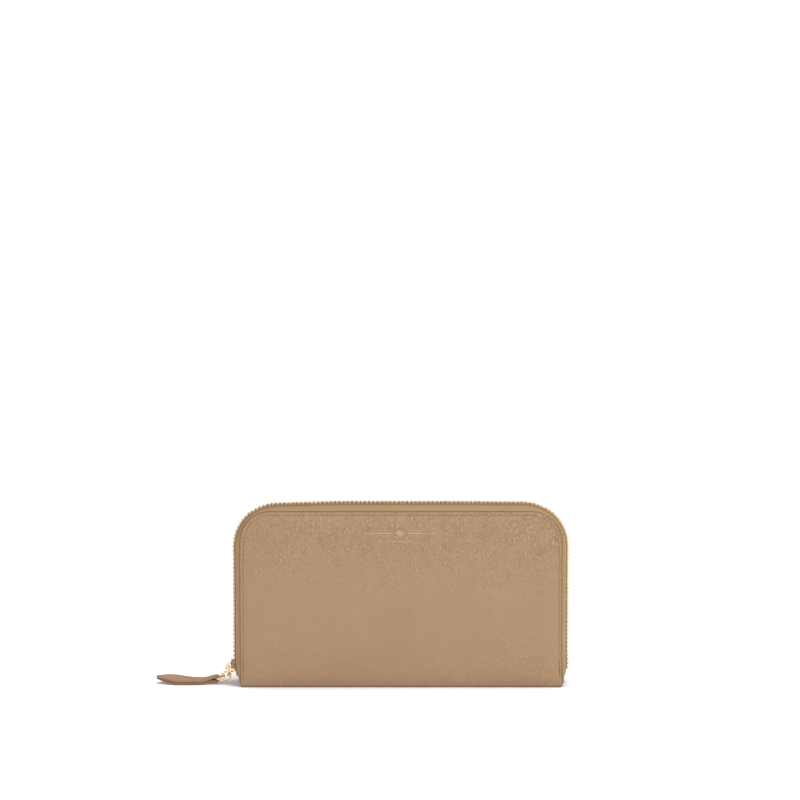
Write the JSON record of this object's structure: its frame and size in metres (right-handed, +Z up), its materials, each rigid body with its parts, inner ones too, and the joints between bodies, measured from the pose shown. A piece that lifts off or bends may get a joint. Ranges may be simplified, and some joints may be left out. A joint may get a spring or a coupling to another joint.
{
  "type": "zip around wallet",
  "caption": "Long leather wallet with round upper corners, a zip round three sides, card and coin pockets inside and a leather pull tab on gold rings.",
  "frame": {"origin": "middle of the flat underside of the spine, which is the face that the closed wallet stands on", "axes": "+Z up from the spine to the zip along the top, +X along the wallet's length away from the end with the parked slider, -Y out of the front cover"},
  "size_m": [0.2332, 0.025, 0.105],
  "materials": {
    "leather": "fine pebbled grain, soft sheen",
    "edge_leather": "fine pebbled grain, rolled edge",
    "pocket_leather": "thin smooth grain",
    "tab_leather": "two layers, sewn, painted edge",
    "lining": "fine twill",
    "zip_tape": "woven herringbone tape",
    "board": "plain grey board",
    "zip_metal": "polished pale gold",
    "gold_metal": "polished pale gold"
  },
  "bodies": {
    "core": {"spine_leather": "leather", "spine_board": "board", "spine_lining": "lining", "coin_front_wall": "pocket_leather", "coin_back_wall": "pocket_leather", "coin_base_strip": "pocket_leather", "coin_front_tape": "zip_tape", "coin_back_tape": "zip_tape", "coin_front_teeth": "zip_metal", "coin_back_teeth": "zip_metal", "gusset_front_left": "pocket_leather", "gusset_front_right": "pocket_leather", "gusset_back_left": "pocket_leather", "gusset_back_right": "pocket_leather"},
    "front_cover": {"front_leather": "leather", "front_board": "board", "front_lining": "lining", "front_card_pocket_1": "pocket_leather", "front_card_pocket_2": "pocket_leather", "front_card_pocket_3": "pocket_leather", "front_zip_facing": "edge_leather", "front_zip_tape": "zip_tape", "front_zip_teeth": "zip_metal", "front_zip_stop": "zip_metal"},
    "back_cover": {"back_leather": "leather", "back_board": "board", "back_lining": "lining", "back_card_pocket_1": "pocket_leather", "back_card_pocket_2": "pocket_leather", "back_card_pocket_3": "pocket_leather", "back_zip_facing": "edge_leather", "back_zip_tape": "zip_tape", "back_zip_teeth": "zip_metal", "back_zip_stop": "zip_metal"},
    "main_slider": {"zip_slider": "gold_metal"},
    "slider_link": {"pull_link": "gold_metal"},
    "round_ring": {"pull_ring": "gold_metal"},
    "pull_tab": {"tab_ring": "gold_metal", "tab_leather": "tab_leather"},
    "coin_zip_slider": {"coin_slider": "gold_metal"},
    "coin_zip_pull": {"coin_pull": "gold_metal"}
  },
  "joints": [
    {"name": "front_cover_open", "type": "hinge", "parent": "core", "child": "front_cover", "pos_m": [0, -0.0125, 0.003], "axis": [1, 0, 0], "range_deg": [0, 45], "deforming": ["gusset_front_left", "gusset_front_right"]},
    {"name": "back_cover_open", "type": "hinge", "parent": "core", "child": "back_cover", "pos_m": [0, 0.0125, 0.003], "axis": [-1, 0, 0], "range_deg": [0, 45], "deforming": ["gusset_back_left", "gusset_back_right"]},
    {"name": "zip_slide", "type": "slide", "parent": "back_cover", "child": "main_slider", "axis": [0, 0, 1], "range_m": [0, 0.062]},
    {"name": "link_swing", "type": "hinge", "parent": "main_slider", "child": "slider_link", "pos_m": [-0.0975, 0, 0.0101], "axis": [0, 1, 0], "range_deg": [0, 70]},
    {"name": "ring_swing", "type": "hinge", "parent": "slider_link", "child": "round_ring", "pos_m": [-0.09788, 0, 0.00461], "axis": [0, 1, 0], "range_deg": [-80, 15]},
    {"name": "tab_swing", "type": "hinge", "parent": "round_ring", "child": "pull_tab", "pos_m": [-0.10011, 0, 0.00406], "axis": [0, 1, 0], "range_deg": [-30, 10]},
    {"name": "coin_zip_slide", "type": "slide", "parent": "core", "child": "coin_zip_slider", "axis": [1, 0, 0], "range_m": [0, 0.14]},
    {"name": "coin_pull_lift", "type": "hinge", "parent": "coin_zip_slider", "child": "coin_zip_pull", "pos_m": [-0.07, 0, 0.0869], "axis": [0, -1, 0], "range_deg": [0, 160]}
  ]
}
